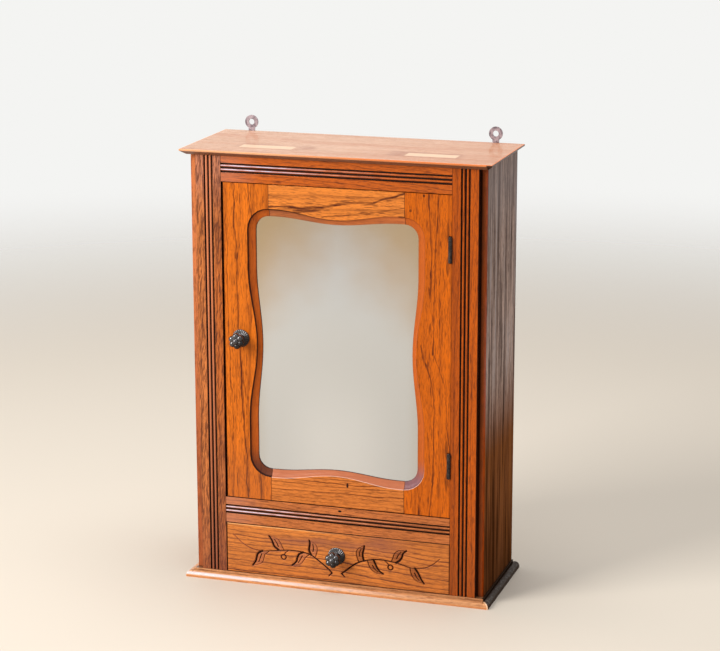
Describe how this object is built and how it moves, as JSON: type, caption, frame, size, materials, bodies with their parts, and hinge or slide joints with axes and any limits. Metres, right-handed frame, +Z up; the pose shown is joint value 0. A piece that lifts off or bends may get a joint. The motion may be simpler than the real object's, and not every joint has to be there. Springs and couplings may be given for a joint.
{
  "type": "mirrored wall cabinet",
  "caption": "Antique oak wall cabinet with a scalloped mirror door, a carved drawer, blossom knobs, a reeded front frame and hanging rings at the back.",
  "frame": {"origin": "middle of the underside, under the middle of the part's box", "axes": "+X to the right seen from the front, +Y to the back (the wall), +Z up"},
  "size_m": [0.454, 0.196, 0.6529],
  "materials": {
    "oak_front": "satin shellac over oak",
    "oak_side": "worn satin oak",
    "oak_inner": "bare oak",
    "old_mirror": "aged silvered glass",
    "dark_bronze": "dark patina",
    "dark_steel": "darkened steel",
    "aged_steel": "dull aged steel"
  },
  "bodies": {
    "carcass": {"top_board": "oak_front", "base_board": "oak_front", "side_board_left": "oak_side", "side_board_right": "oak_side", "front_stile_left": "oak_front", "front_stile_right": "oak_front", "top_rail": "oak_front", "middle_rail": "oak_front", "back_board_left": "oak_inner", "back_board_middle": "oak_inner", "back_board_right": "oak_inner", "back_nails": "dark_steel", "carcass_dowels": "oak_inner", "cupboard_floor": "oak_inner", "lower_shelf": "oak_inner", "upper_shelf": "oak_inner", "lower_shelf_batten_left": "oak_inner", "lower_shelf_batten_right": "oak_inner", "upper_shelf_batten_left": "oak_inner", "upper_shelf_batten_right": "oak_inner", "drawer_guide_left": "oak_inner", "drawer_guide_right": "oak_inner", "drawer_kicker_left": "oak_inner", "drawer_kicker_right": "oak_inner", "hanger_plate_left": "aged_steel", "hanger_plate_right": "aged_steel", "hanger_screws": "aged_steel", "lower_hinge_frame_leaf": "dark_steel", "upper_hinge_frame_leaf": "dark_steel", "lower_hinge_pin": "dark_steel", "upper_hinge_pin": "dark_steel", "hinge_frame_screws": "dark_steel", "door_catch_clip": "aged_steel", "catch_clip_screw": "aged_steel"},
    "door": {"door_stile_left": "oak_front", "door_stile_right": "oak_front", "door_top_rail": "oak_front", "door_bottom_rail": "oak_front", "mirror_glass": "old_mirror", "mirror_backing": "oak_inner", "mirror_bead_top": "oak_front", "mirror_bead_bottom": "oak_front", "mirror_bead_left": "oak_front", "mirror_bead_right": "oak_front", "lower_hinge_door_leaf": "dark_steel", "upper_hinge_door_leaf": "dark_steel", "hinge_door_screws": "dark_steel", "door_catch_tongue": "aged_steel", "catch_tongue_screws": "aged_steel", "door_knob_flange": "dark_bronze", "door_knob_head": "dark_bronze", "door_knob_screw": "aged_steel"},
    "drawer": {"drawer_front": "oak_front", "drawer_side_left": "oak_inner", "drawer_side_right": "oak_inner", "drawer_back": "oak_inner", "drawer_bottom": "oak_inner", "drawer_knob_flange": "dark_bronze", "drawer_knob_head": "dark_bronze", "drawer_knob_screw": "aged_steel"}
  },
  "joints": [
    {"name": "door_hinge", "type": "hinge", "parent": "carcass", "child": "door", "pos_m": [0.16525, -0.0735, 0.35475], "axis": [0, 0, 1], "range_deg": [0, 170]},
    {"name": "drawer_slide", "type": "slide", "parent": "carcass", "child": "drawer", "axis": [0, -1, 0], "range_m": [0, 0.11]}
  ]
}
